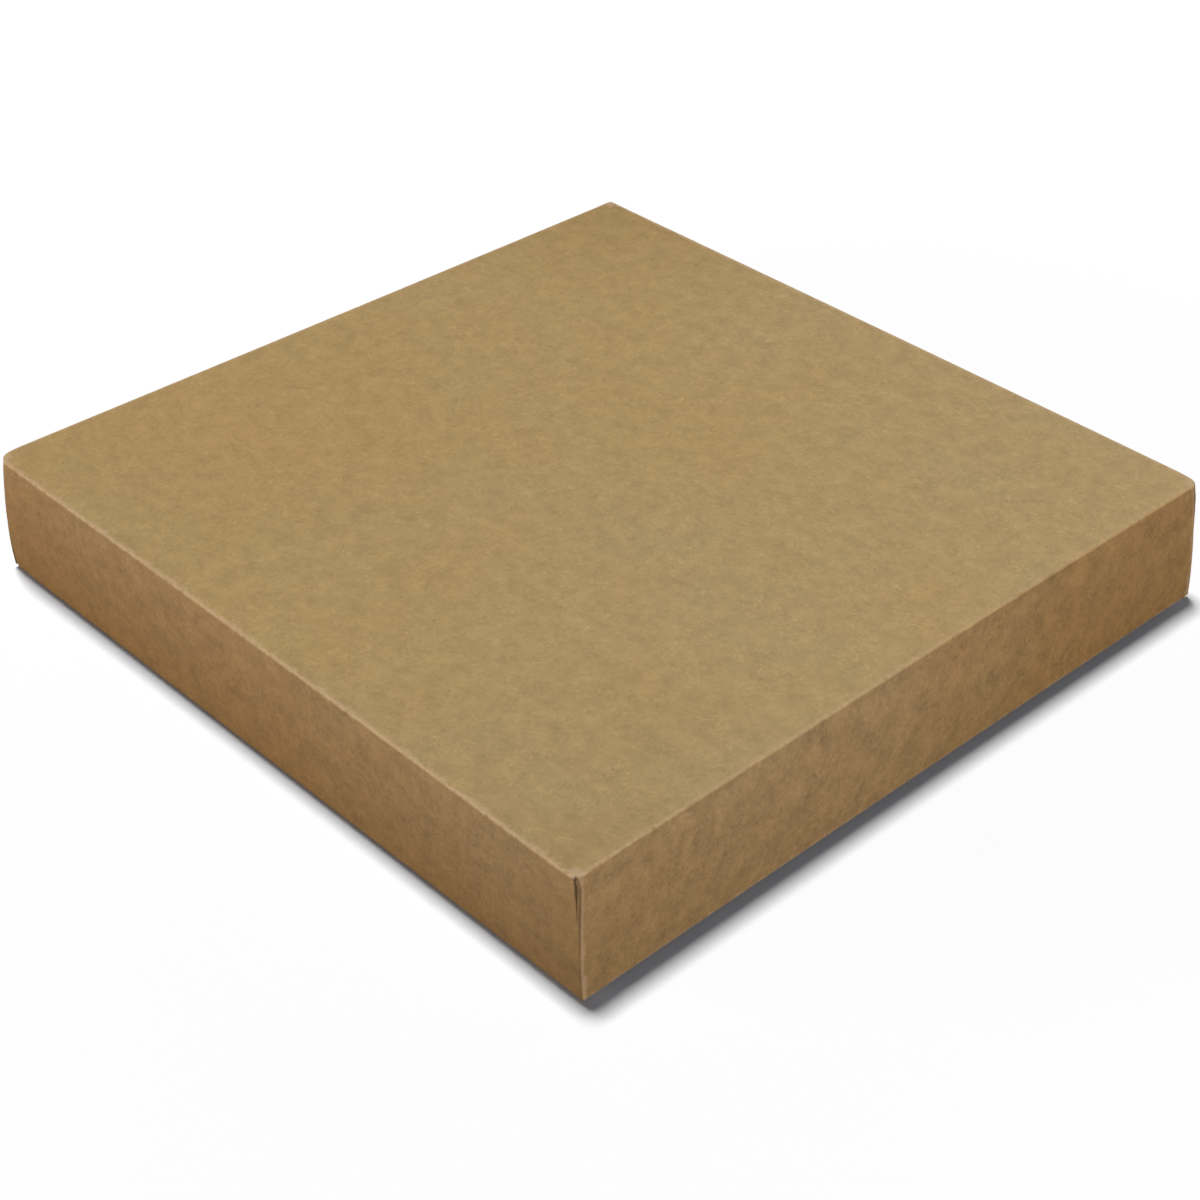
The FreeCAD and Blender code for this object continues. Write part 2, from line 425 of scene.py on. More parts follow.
    def build(self) -> bpy.types.Object:
        """Folds the blank and closes its two faces along the cut edges into one mesh.

        Returns:
            The new object, which stands for the tray's CAD node.
        """
        panel, side, front = self.panel(), self.side_flap(), self.front_flap()
        patches = [
            (self.side_fold, panel),
            (self.side_fold, side),
            (self.side_fold, opposite(side, 1)),
            (self.front_fold, front),
            (self.front_fold, opposite(front, 0)),
        ]
        outer, inner, blank, cells = [], [], [], []
        count = 0
        for fold, (across, along, kept) in patches:
            outer.append(fold(across, along, 0.0).reshape(-1, 3))
            inner.append(fold(across, along, self.board).reshape(-1, 3))
            blank.append(np.stack([across.ravel(), along.ravel()], axis=-1))
            cells.append(grid_cells(*across.shape)[kept.ravel()] + count)
            count += across.size
        welded = weld(np.concatenate(outer), np.concatenate(inner), np.concatenate(blank), np.concatenate(cells))
        outside, inside, flat, quads = welded
        return sheet_object(self.name + "_sheet", self.place(outside), self.place(inside), flat, quads)

    def dress(self, piece: bpy.types.Object, finishes: tuple["PaperFinish", ...]) -> None:
        """Gives the sheet its outside, inside and cut-edge materials, its body and the node that it stands for."""
        for finish in finishes:
            piece.data.materials.append(finish.material(self))
        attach(piece, self.body)
        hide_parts(self.name)


def both_ways(half: Array) -> Array:
    """Distances from the middle, which start with 0, as positions on both sides of it in rising order."""
    return np.concatenate([-half[:0:-1], half])


def spread(marks: list[float], steps: tuple[int, ...]) -> Array:
    """Positions in rising order, evenly spaced between each two neighbouring marks, with that number of steps."""
    parts = [np.linspace(a, b, n + 1)[:-1] for a, b, n in zip(marks, marks[1:], steps)]
    return np.concatenate([*parts, marks[-1:]])


def opposite(patch: Patch, axis: int) -> Patch:
    """The same patch on the other side of the blank.

    Args:
        patch: lengths across and along, and the cells kept.
        axis: 1 for the patch on the other side across, 0 for the one on the other side along.

    Returns:
        The patch with its lines in rising order again, so that its cells keep the way that they face.
    """
    across, along, kept = (np.flip(part, axis) for part in patch)
    return (-across, along, kept) if axis == 1 else (across, -along, kept)


def grid_cells(rows: int, columns: int) -> Array:
    """Corner numbers of every cell of a grid, ordered so that the cell faces away from the tray's hollow."""
    number = np.arange(rows * columns).reshape(rows, columns)
    corners = [number[:-1, :-1], number[1:, :-1], number[1:, 1:], number[:-1, 1:]]
    return np.stack([corner.ravel() for corner in corners], axis=-1)


def weld(outer: Array, inner: Array, blank: Array, cells: Array) -> tuple[Array, ...]:
    """Joins points of the sheet that lie on the same spot, and drops those that no cell uses.

    Args:
        outer: points of the outer face.
        inner: points of the inner face under them.
        blank: their places on the blank.
        cells: corner numbers of the cells.

    Returns:
        The same four arrays for the joined sheet.
    """
    used, renumbered = np.unique(cells, return_inverse=True)
    spots = np.round(outer[used] / WELD_WITHIN).astype(np.int64)
    _, first, joined = np.unique(spots, axis=0, return_index=True, return_inverse=True)
    keep = used[first]
    return outer[keep], inner[keep], blank[keep], joined.ravel()[renumbered.reshape(cells.shape)]


def cut_edges(quads: Array) -> Array:
    """Directed edges of the quads that no other quad shares, as pairs of corner numbers."""
    edges = np.concatenate([quads[:, [k, (k + 1) % 4]] for k in range(4)])
    base = quads.max() + 1
    forward, backward = edges @ np.array([base, 1]), edges @ np.array([1, base])
    return edges[~np.isin(forward, backward)]


def sheet_object(
    name: str, outside: Array, inside: Array, blank: Array, quads: Array
) -> bpy.types.Object:
    """Closes two faces of a sheet into one mesh.

    The outer quads keep their order, the inner ones are turned round, and each cut edge gets a quad that joins it to
    the edge under it. The UV map holds the place on the blank, in metres, moved so that the middle of the panel is
    at one half.

    Args:
        name: the object's name.
        outside: points of the outer face.
        inside: points of the inner face, in the same order.
        blank: their places on the blank.
        quads: corner numbers of the outer quads.

    Returns:
        The object, at the origin.
    """
    count = len(outside)
    edges = cut_edges(quads)
    rim = np.stack([edges[:, 1], edges[:, 0], edges[:, 0] + count, edges[:, 1] + count], axis=-1)
    faces = np.concatenate([quads, quads[:, ::-1] + count, rim])
    mesh = bpy.data.meshes.new(name)
    mesh.from_pydata(np.concatenate([outside, inside]).tolist(), [], faces.tolist())
    places = (Face.OUTSIDE, Face.INSIDE, Face.CUT_EDGE)
    slots = np.repeat([place.value for place in places], [len(quads), len(quads), len(rim)])
    mesh.polygons.foreach_set("material_index", slots.astype(np.int32))
    flat = (np.concatenate([blank, blank]) + BLANK_MIDDLE)[faces.ravel()]
    mesh.uv_layers.new(name="blank").uv.foreach_set("vector", flat.astype(np.float32).ravel())
    mesh.shade_smooth()
    mesh.set_sharp_from_angle(angle=SMOOTH_BELOW)
    if mesh.validate():
        raise ValueError(f"{name} has faces that can't be")
    mesh.update()
    return linked(name, mesh)


def linked(name: str, data: bpy.types.ID) -> bpy.types.Object:
    """A new object with the given data, in the scene."""
    made = bpy.data.objects.new(name, data)
    bpy.context.scene.collection.objects.link(made)
    return made


class Graph:
    """A short way to lay out the nodes of a material or of a node group."""

    def __init__(self, tree: bpy.types.NodeTree) -> None:
        """Works on tree, which it leaves as it is."""
        self.tree = tree

    def add(self, kind: str, settings: dict[str, object] | None = None, **inputs: object) -> bpy.types.Node:
        """Adds a node.

        Args:
            kind: the node type without its ShaderNode prefix.
            settings: the node's own properties.
            inputs: socket names, with _ for a space, and a value or an output socket for each.

        Returns:
            The node.
        """
        node = self.tree.nodes.new("ShaderNode" + kind)
        for key, value in (settings or {}).items():
            setattr(node, key, value)
        for key, value in inputs.items():
            self.feed(node.inputs[key.replace("_", " ")], value)
        return node

    def feed(self, socket: Socket, value: object) -> None:
        """Links an output socket to socket, or sets socket's own value. A colour is given by its first three parts."""
        if isinstance(value, Socket):
            self.tree.links.new(value, socket)
        else:
            socket.default_value = (*value, 1.0) if socket.type == "RGBA" else value

    def feed_all(self, sockets: Iterable[Socket], values: Iterable[object]) -> None:
        """Feeds each socket its value, for as many as there are of both."""
        for socket, value in zip(sockets, values):
            self.feed(socket, value)

    def math(self, operation: str, *values: object, clamp: bool = False) -> Socket:
        """The result of a Math node on up to three values."""
        node = self.add("Math", {"operation": operation, "use_clamp": clamp})
        self.feed_all(node.inputs, values)
        return node.outputs["Value"]

    def chain(self, operation: str, *values: object) -> Socket:
        """An operation of two values taken along several, such as the sum of them all."""
        return reduce(lambda first, second: self.math(operation, first, second), values)

    def vector(self, operation: str, *values: object) -> Socket:
        """The vector result of a Vector Math node."""
        node = self.add("VectorMath", {"operation": operation})
        self.feed_all(node.inputs, values)
        return node.outputs["Vector"]

    def mix(self, share: object, first: object, second: object, blend: str = "MIX") -> Socket:
        """The colour that a Mix node makes of two."""
        node = self.add("Mix", {"data_type": "RGBA", "blend_type": blend})
        self.feed_all((node.inputs[0], node.inputs[6], node.inputs[7]), (share, first, second))
        return node.outputs[2]

    def tint(self, share: object, colour: object, by: object) -> Socket:
        """Colour multiplied by another one, in the given share."""
        return self.mix(share, colour, by, "MULTIPLY")

    def ramp(self, value: object, low: float, high: float) -> Socket:
        """Value taken smoothly from 0 at low to 1 at high, and held outside them."""
        node = self.add("MapRange", {"interpolation_type": "SMOOTHSTEP", "clamp": True}, Value=value)
        node.inputs["From Min"].default_value, node.inputs["From Max"].default_value = low, high
        return node.outputs["Result"]

    def noise(
        self, vector: object, scale: float, detail: float = 2.0, rough: float = 0.5, swirl: float = 0.0
    ) -> Socket:
        """A noise value about one half."""
        inputs = {"Scale": scale, "Detail": detail, "Roughness": rough, "Distortion": swirl}
        return self.add("TexNoise", {"normalize": True}, Vector=vector, **inputs).outputs["Fac"]

    def mask(self, tree: bpy.types.NodeTree, **inputs: object) -> Socket:
        """The mask that a node group gives."""
        return self.add("Group", {"node_tree": tree}, **inputs).outputs["Mask"]


def new_group(name: str, inputs: dict[str, str], outputs: dict[str, str]) -> tuple[Graph, dict, dict]:
    """Starts a shader node group.

    Args:
        name: the group's name.
        inputs: the socket kind of each input: Float, Color or Vector.
        outputs: the same for each output.

    Returns:
        The group's graph, its input sockets by name, and the output node's sockets by name.
    """
    tree = bpy.data.node_groups.new(name, "ShaderNodeTree")
    for way, sockets in (("INPUT", inputs), ("OUTPUT", outputs)):
        for key, kind in sockets.items():
            tree.interface.new_socket(name=key, in_out=way, socket_type="NodeSocket" + kind)
    start, end = tree.nodes.new("NodeGroupInput"), tree.nodes.new("NodeGroupOutput")
    return Graph(tree), {key: start.outputs[key] for key in inputs}, {key: end.inputs[key] for key in outputs}


@dataclass(frozen=True)
class FibreKind:
    """Fibres that lie one way: their turn in radians, length and width in millimetres, and cut-off level."""

    turn: float
    length: float
    width: float
    level: float


@dataclass
class PaperEffects:
    """The node groups that every paper finish is put together from, with the measures of the board's pattern.

    Scales are for each millimetre, reaches and places are millimetres, and strengths are shares of the colour.
    """

    curl_scale: float = 0.35
    curl_reach: float = 2.2
    fibre_sharpness: float = 11.0
    light: tuple[FibreKind, ...] = (FibreKind(0.35, 3.0, 0.85, 0.61), FibreKind(1.9, 2.4, 0.8, 0.61))
    dark: tuple[FibreKind, ...] = (FibreKind(2.75, 3.2, 0.9, 0.62), FibreKind(1.15, 2.2, 0.8, 0.62))
    dark_strength: float = 0.7
    dark_relief: float = 0.6
    cluster_scale: float = 0.11
    cluster_levels: tuple[float, float] = (0.4, 0.62)
    cluster_strength: float = 0.65
    cloud_scale: float = 0.15
    cloud_relief: float = 0.8
    curd_scale: float = 0.36
    curd_swirl: float = 1.8
    curd_strength: float = 0.65
    grain_scale: float = 1.7
    grain_relief: float = 0.6
    broad_scale: float = 0.012
    broad_strength: float = 0.12
    drift_across: float = -0.0036
    drift_along: float = -0.0012
    drift_unevenness: float = 1.5
    dulled_places: tuple[float, float] = (125.0, 285.0)
    dulled_unevenness: float = 160.0
    dulled: Colour = (0.85, 0.83, 0.78)
    # Painted shade: the colour that darkens and browns the walls towards their rim.
    painted_rim_shade: Colour = (0.63, 0.54, 0.38)
    tint_scale: float = 0.035
    tint_levels: tuple[float, float] = (0.35, 0.65)
    tint_strength: float = 0.2
    cool: Colour = (0.94, 1.02, 1.03)
    warm: Colour = (1.05, 0.98, 0.93)
    line_scale: float = 0.4
    ragged_scale: float = 0.75
    ragged_range: tuple[float, float] = (-0.7, 2.7)
    fibres: bpy.types.NodeTree = field(init=False)
    pulp: bpy.types.NodeTree = field(init=False)
    fold_line: bpy.types.NodeTree = field(init=False)

    def __post_init__(self) -> None:
        """Makes each group once."""
        self.fibres = self.make_fibres()
        self.pulp = self.make_pulp()
        self.fold_line = self.make_fold_line()

    def make_fibres(self) -> bpy.types.NodeTree:
        """Short fibres that lie one way.

        Noise on coordinates that are turned, then drawn out along one axis, is cut off at a level, so that only its
        thin peaks are left. A slow noise bends the coordinates first, so that the fibres curl.

        Returns:
            The group.
        """
        graph, given, out = new_group(
            "fibres",
            {"Vector": "Vector", "Turn": "Float", "Length": "Float", "Width": "Float", "Level": "Float"},
            {"Mask": "Float"},
        )
        curl = graph.add("TexNoise", Vector=given["Vector"], Scale=self.curl_scale, Detail=1.0)
        swing = graph.vector("SUBTRACT", curl.outputs["Color"], (0.5, 0.5, 0.5))
        bend = graph.add("VectorMath", {"operation": "SCALE"}, Vector=swing, Scale=self.curl_reach)
        bent = graph.vector("ADD", given["Vector"], bend.outputs["Vector"])
        turned = graph.add("VectorRotate", {"rotation_type": "Z_AXIS"}, Vector=bent, Angle=given["Turn"])
        thin = graph.math("DIVIDE", 1.0, given["Width"])
        stretch = graph.add("CombineXYZ", X=graph.math("DIVIDE", 1.0, given["Length"]), Y=thin, Z=thin)
        drawn = graph.vector("MULTIPLY", turned.outputs["Vector"], stretch.outputs["Vector"])
        above = graph.math("SUBTRACT", graph.noise(drawn, 1.0, 1.0), given["Level"])
        graph.feed(out["Mask"], graph.math("MULTIPLY", above, self.fibre_sharpness, clamp=True))
        return graph.tree

    def make_pulp(self) -> bpy.types.NodeTree:
        """Uncoated brown board: a cloudy ground, light and dark fibres in several directions, and their relief.

        Lengths are in millimetres. Vector is the place on the blank, where the fibres lie, and Solid is the place in
        space, where the clouds and the curds in them lie. Clusters let more fibres through in some places.

        Returns:
            The group.
        """
        graph, given, out = new_group(
            "pulp",
            {
                "Vector": "Vector",
                "Solid": "Vector",
                "Paper": "Color",
                "Far Paper": "Color",
                "Cloud": "Float",
                "Fibre": "Float",
                "Handled": "Float",
            },
            {"Color": "Color", "Height": "Float"},
        )
        flat, solid = given["Vector"], given["Solid"]
        broad = graph.math("SUBTRACT", graph.noise(flat, self.broad_scale), 0.5)
        cloud = graph.noise(solid, self.cloud_scale, 2.5, 0.7)
        curds = graph.noise(solid, self.curd_scale, swirl=self.curd_swirl)
        grain = graph.noise(solid, self.grain_scale, 2.0, 0.6)
        light, dark = (self.tangle(graph, flat, kinds) for kinds in (self.light, self.dark))
        middle = 0.5 + 0.5 * self.curd_strength
        mottle = graph.math("MULTIPLY_ADD", curds, self.curd_strength, graph.math("SUBTRACT", cloud, middle))
        cluster = graph.ramp(graph.noise(flat, self.cluster_scale), *self.cluster_levels)
        dense = graph.math("MULTIPLY_ADD", cluster, self.cluster_strength, 1 - self.cluster_strength)
        fibre = graph.math("MULTIPLY_ADD", dark, -self.dark_strength, light)
        level = graph.chain(
            "ADD",
            1.0,
            graph.math("MULTIPLY", mottle, given["Cloud"]),
            graph.math("MULTIPLY", broad, self.broad_strength),
            graph.chain("MULTIPLY", fibre, dense, given["Fibre"]),
        )
        grey = graph.add("CombineColor", Red=level, Green=level, Blue=level).outputs["Color"]
        ground = self.ground(graph, solid, broad, given)
        # The ground is darkened and browned towards each wall's rim here: painted shade.
        toned = graph.tint(1.0, graph.tint(given["Handled"], ground, self.painted_rim_shade), grey)
        cool, warm = (graph.tint(self.tint_strength, toned, by) for by in (self.cool, self.warm))
        warmth = graph.ramp(graph.noise(solid, self.tint_scale, 3.0, 0.6), *self.tint_levels)
        graph.feed(out["Color"], graph.mix(warmth, cool, warm))
        relief = graph.math("MULTIPLY_ADD", grain, self.grain_relief, graph.math("MULTIPLY", cloud, self.cloud_relief))
        raised = graph.math("MULTIPLY_ADD", dark, -self.dark_relief, light)
        graph.feed(out["Height"], graph.math("ADD", relief, raised))
        return graph.tree

    def tangle(self, graph: Graph, flat: Socket, kinds: tuple[FibreKind, ...]) -> Socket:
        """The mask of several kinds of fibres together."""
        return graph.chain("MAXIMUM", *(
            graph.mask(self.fibres, Vector=flat, Turn=kind.turn, Length=kind.length, Width=kind.width, Level=kind.level)
            for kind in kinds
        ))

    def ground(self, graph: Graph, solid: Socket, broad: Socket, given: dict[str, Socket]) -> Socket:
        """The board's plain colour, which goes over into a second one across the box and is dulled at two corners.

        Args:
            graph: the pulp group's graph.
            solid: the place in space, in millimetres.
            broad: a broad noise about 0, which makes both changes uneven.
            given: the group's inputs, with the two colours.

        Returns:
            The colour.
        """
        parts = graph.add("SeparateXYZ", Vector=solid)
        x, y = parts.outputs["X"], parts.outputs["Y"]
        run = graph.math("MULTIPLY_ADD", y, self.drift_along, graph.math("MULTIPLY", x, self.drift_across))
        uneven = graph.math("MULTIPLY", broad, self.drift_unevenness)
        drift = graph.math("ADD", graph.math("ADD", run, 0.5), uneven, clamp=True)
        lean = graph.math("ABSOLUTE", graph.math("SUBTRACT", x, y))
        dulled = graph.ramp(graph.math("MULTIPLY_ADD", broad, self.dulled_unevenness, lean), *self.dulled_places)
        return graph.tint(dulled, graph.mix(drift, given["Paper"], given["Far Paper"]), self.dulled)

    def make_fold_line(self) -> bpy.types.NodeTree:
        """Board that is rubbed and stretched along a fold.

        The mask is 1 on the line and falls to 0 at a width that a fine noise varies, so that its edge is ragged. A
        slower noise lets the line itself wander.

        Returns:
            The group.
        """
        graph, given, out = new_group(
            "fold_line",
            {"Vector": "Vector", "Distance": "Float", "Line": "Float", "Width": "Float", "Wander": "Float"},
            {"Mask": "Float"},
        )
        least, most = self.ragged_range
        swing = graph.math("MULTIPLY_ADD", graph.noise(given["Vector"], self.line_scale), 2.0, -1.0)
        wander = graph.chain("MULTIPLY", swing, given["Wander"], given["Width"])
        off_line = graph.math("SUBTRACT", given["Distance"], given["Line"])
        away = graph.math("ABSOLUTE", graph.math("ADD", off_line, wander))
        rough = graph.noise(given["Vector"], self.ragged_scale, 3.0, 0.7)
        ragged = graph.math("MULTIPLY_ADD", rough, most - least, least)
        width = graph.math("MULTIPLY", given["Width"], ragged)
        graph.feed(out["Mask"], graph.math("SUBTRACT", 1.0, graph.math("DIVIDE", away, width), clamp=True))
        return graph.tree


class WearAndShade:
    """Masks of the wear, and of the painted shade, on one tray, laid out on its blank.

    All lengths are millimetres. Across and along are distances from the middle of the panel, so that a mask is the
    same on opposite sides. Side, front and corner are the lengths of the fold paths up to each of their runs.
    """

    CLOUD_SHARES = (0.7, 0.5)
    # How much painted shade the rolled and the single walls get at the rim.
    RIM_SHADE_SHARES = (0.6, 1.0)
    YELLOW_PLACES = (20.0, -75.0)
    FOLD_FADE = (-0.3, 0.4)
    EAR_FADE = (6.0, 2.0)
    SLIT_OFFSET = 0.22
    SLIT_WIDTH = 0.7
    SLIT_WANDER = 0.2
    SLIT_FULL_TO = 0.2
    LINE_WANDER = 1.4
    PAST_CREASE = 0.1
    SIDE_CREASE_WIDTH = 0.9
    SIDE_CREASE_SHARE = 0.6
    FRONT_CREASE_WIDTH = 1.15
    RIM_WIDTH = 0.8
    CORNER_FADES = ((-3.6, -1.8), (1.6, 0.6))
    FLAP_END_FADES = ((-1.0, -0.5), (0.02, 0.06))
    FLAP_END_SHARE = 0.7

    def __init__(self, graph: Graph, flat: Socket, tray: FoldedTray, fold_line: bpy.types.NodeTree) -> None:
        """Adds the nodes that the masks start from.

        Args:
            graph: the material's graph.
            flat: the place on the blank.
            tray: the tray, whose fold paths the masks follow.
            fold_line: the node group of a rubbed fold line.
        """
        self.graph, self.flat, self.tray, self.fold_line = graph, flat, tray, fold_line
        self.depth = tray.depth / MM
        self.side, self.front, self.corner = (
            [path.reach(count) / MM for count in range(len(path.runs) + 1)]
            for path in (tray.side_path, tray.front_path, tray.corner_path)
        )
        parts = graph.add("SeparateXYZ", Vector=flat)
        self.place_along = parts.outputs["Y"]
        self.across, self.along = (graph.math("ABSOLUTE", parts.outputs[axis]) for axis in "XY")
        self.rolled = graph.math("GREATER_THAN", self.across, self.side[1])
        self.single = graph.math("GREATER_THAN", self.along, self.front[1])

    def line(self, distance: Socket, place: float, width: float, wander: float) -> Socket:
        """The mask of one rubbed fold line, at a place in the distance that is given."""
        return self.graph.mask(
            self.fold_line, Vector=self.flat, Distance=distance, Line=place, Width=width, Wander=wander
        )

    def clouding(self, cloud: float) -> Socket:
        """How cloudy the board looks: more so on the walls, which are pressed on more, and most on rolled ones."""
        walls = zip((self.rolled, self.single), self.CLOUD_SHARES)
        pressed = self.graph.chain("MAXIMUM", *(self.graph.math("MULTIPLY", wall, share) for wall, share in walls))
        return self.graph.math("MULTIPLY_ADD", pressed, cloud, cloud)

    def rim_shade_share(self) -> Socket:
        """Share of the painted shade towards the rim: from 0 at the crease to 1 at a single wall's rim, and less at a
        rolled one's.
        """
        creases = ((self.across, self.side[1]), (self.along, self.front[1]))
        shares = []
        for (distance, crease), most in zip(creases, self.RIM_SHADE_SHARES):
            up = self.graph.math("DIVIDE", self.graph.math("SUBTRACT", distance, crease), self.depth, clamp=True)
            shares.append(self.graph.math("MULTIPLY", up, most))
        return self.graph.chain("MAXIMUM", *shares)

    def yellowing(self) -> Socket:
        """1 towards one end of each rolled wall, which is yellower than the rest."""
        return self.graph.math("MULTIPLY", self.rolled, self.graph.ramp(self.place_along, *self.YELLOW_PLACES))

    def fold_shade(self) -> Socket:
        """1 on the ear's root behind each corner fold, where shade is painted in, fading over the fold and the ear."""
        start, end = self.corner[1:3]
        on_wall = self.graph.math("GREATER_THAN", self.along, self.front[2])
        over_fold = self.graph.ramp(self.across, start + self.FOLD_FADE[0], end + self.FOLD_FADE[1])
        over_ear = self.graph.ramp(self.across, *(end + place for place in self.EAR_FADE))
        return self.graph.chain("MULTIPLY", over_fold, over_ear, on_wall)

    def slit_shade(self) -> Socket:
        """1 in the slit of each corner fold, where a shadow is painted in, fading to its point."""
        line = self.line(self.across, self.corner[1] + self.SLIT_OFFSET, self.SLIT_WIDTH, self.SLIT_WANDER)
        length = self.tray.slit_length / MM
        down = self.graph.math("SUBTRACT", self.along, self.front[2])
        fading = self.graph.ramp(down, length, self.SLIT_FULL_TO * length)
        return self.graph.chain("MULTIPLY", line, fading, self.graph.math("GREATER_THAN", down, 0.0))

    def fold_wear(self) -> Socket:
        """Where the board is rubbed: the creases round the panel, its corners, the rolled rim and the flaps' ends.

        Returns:
            The mask. Fold lines are given by the distance that they are measured in, their place, their width and the
            share in which they show.
        """
        graph, side, front = self.graph, self.side, self.front
        beside = graph.math("LESS_THAN", self.along, front[2])
        faintly = graph.math("MULTIPLY", beside, self.SIDE_CREASE_SHARE)
        lines = (
            (self.across, side[1] + self.PAST_CREASE, self.SIDE_CREASE_WIDTH, faintly),
            (self.along, front[1] + self.PAST_CREASE, self.FRONT_CREASE_WIDTH, 1.0),
            (self.across, (side[3] + side[4]) / 2, self.RIM_WIDTH, beside),
            (self.across, (side[5] + side[6]) / 2, self.RIM_WIDTH, beside),
        )
        worn = [
            graph.math("MULTIPLY", self.line(distance, place, width, self.LINE_WANDER), share)
            for distance, place, width, share in lines
        ]
        past_side = graph.math("SUBTRACT", self.across, side[1])
        past_front = graph.math("SUBTRACT", self.along, front[1])
        near_both = graph.ramp(graph.math("MINIMUM", past_side, past_front), *self.CORNER_FADES[0])
        not_beyond = graph.ramp(graph.math("MAXIMUM", past_side, past_front), *self.CORNER_FADES[1])
        worn.append(graph.math("MULTIPLY", near_both, not_beyond))
        height = graph.math("DIVIDE", past_side, self.depth)
        widening = (self.tray.flap_set_back + self.tray.flap_overhang) / MM
        foot = (self.tray.half_y - self.tray.flap_set_back) / MM
        past_end = graph.math("SUBTRACT", self.along, graph.math("MULTIPLY_ADD", height, widening, foot))
        at_end = (graph.ramp(value, *fade) for value, fade in zip((past_end, height), self.FLAP_END_FADES))
        worn.append(graph.chain("MULTIPLY", *at_end, self.FLAP_END_SHARE))
        return graph.chain("MAXIMUM", *worn)


@dataclass(frozen=True)
class PaperFinish:
    """One face of the board: its colour, how cloudy and fibrous it is, how its folds are rubbed, and its painted fold
    shade.

    A face with a thrown colour lights what stands round it in that colour, so that the shadow beside it stays grey.
    """

    name: str
    effects: PaperEffects
    paper: Colour
    far_paper: Colour
    rubbed: Colour
    # Painted shade on the recessed corner fold.
    painted_fold_shade: Colour = (0.78, 0.75, 0.72)
    # Painted shadow inside the corner slits.
    painted_slit_shadow: Colour = (0.25, 0.22, 0.20)
    yellowed: Colour = (0.95, 0.87, 0.72)
    cloud: float = 0.5
    fibre: float = 0.16
    rub: float = 0.6
    roughness: float = 0.86
    specular: float = 0.25
    relief: float = 0.25
    relief_depth: float = 0.06 * MM
    pattern_shift: float = 0.0
    thrown: Colour | None = None

    def material(self, tray: FoldedTray) -> bpy.types.Material:
        """Makes this finish for one tray, whose fold lines it follows.

        Args:
            tray: the tray that gets it.

        Returns:
            The material.
        """
        made = bpy.data.materials.new(f"{tray.name}_{self.name}")
        made.use_nodes = True
        graph = Graph(made.node_tree)
        shader = made.node_tree.nodes["Principled BSDF"]
        blank = graph.add("UVMap", {"uv_map": "blank"}).outputs["UV"]
        centred = graph.vector("SUBTRACT", blank, (BLANK_MIDDLE, BLANK_MIDDLE, 0.0))
        here = graph.add("TexCoord").outputs["Object"]
        flat, solid = (graph.vector("MULTIPLY", place, (1 / MM, 1 / MM, 1 / MM)) for place in (centred, here))
        shift = self.pattern_shift
        wear_and_shade = WearAndShade(graph, flat, tray, self.effects.fold_line)
        pulp = graph.add(
            "Group",
            {"node_tree": self.effects.pulp},
            Vector=graph.vector("ADD", flat, (shift, SHIFT_ASPECT * shift, 0.0)),
            Solid=graph.vector("ADD", solid, (shift, 0.0, shift)),
            Paper=self.paper,
            Far_Paper=self.far_paper,
            Cloud=wear_and_shade.clouding(self.cloud),
            Fibre=self.fibre,
            # Painted shade towards the walls' rims.
            Handled=wear_and_shade.rim_shade_share(),
        )
        colour = pulp.outputs["Color"]
        # Painted shade in each corner fold and painted shadow in its slit, then one end of each rolled wall yellowed.
        for mask, tone in (
            (wear_and_shade.fold_shade(), self.painted_fold_shade),
            (wear_and_shade.slit_shade(), self.painted_slit_shadow),
            (wear_and_shade.yellowing(), self.yellowed),
        ):
            colour = graph.tint(mask, colour, tone)
        colour = graph.mix(graph.math("MULTIPLY", wear_and_shade.fold_wear(), self.rub), colour, self.rubbed)
        if self.thrown is not None:
            colour = graph.mix(graph.add("LightPath").outputs["Is Diffuse Ray"], colour, self.thrown)
        graph.feed(shader.inputs["Base Color"], colour)
        bump = graph.add("Bump", Strength=self.relief, Distance=self.relief_depth, Height=pulp.outputs["Height"])
        graph.feed(shader.inputs["Normal"], bump.outputs["Normal"])
        shader.inputs["Roughness"].default_value = self.roughness
        shader.inputs["Specular IOR Level"].default_value = self.specular
        return made


@dataclass(frozen=True)
class SoftBox:
    """A rectangular studio lamp that points at one spot."""

    name: str
    place: tuple[float, float, float]
    aim: tuple[float, float, float]
    size: tuple[float, float]
    watts: float
    colour: Colour = WHITE

    def build(self) -> bpy.types.Object:
        """Makes the lamp."""
        lamp = bpy.data.lights.new(self.name, "AREA")
        lamp.shape, (lamp.size, lamp.size_y) = "RECTANGLE", self.size
        lamp.energy, lamp.color = self.watts, self.colour
        made = linked(self.name, lamp)
        made.location = self.place
        made.rotation_euler = (Vector(self.aim) - Vector(self.place)).to_track_quat("-Z", "Y").to_euler()
        return made


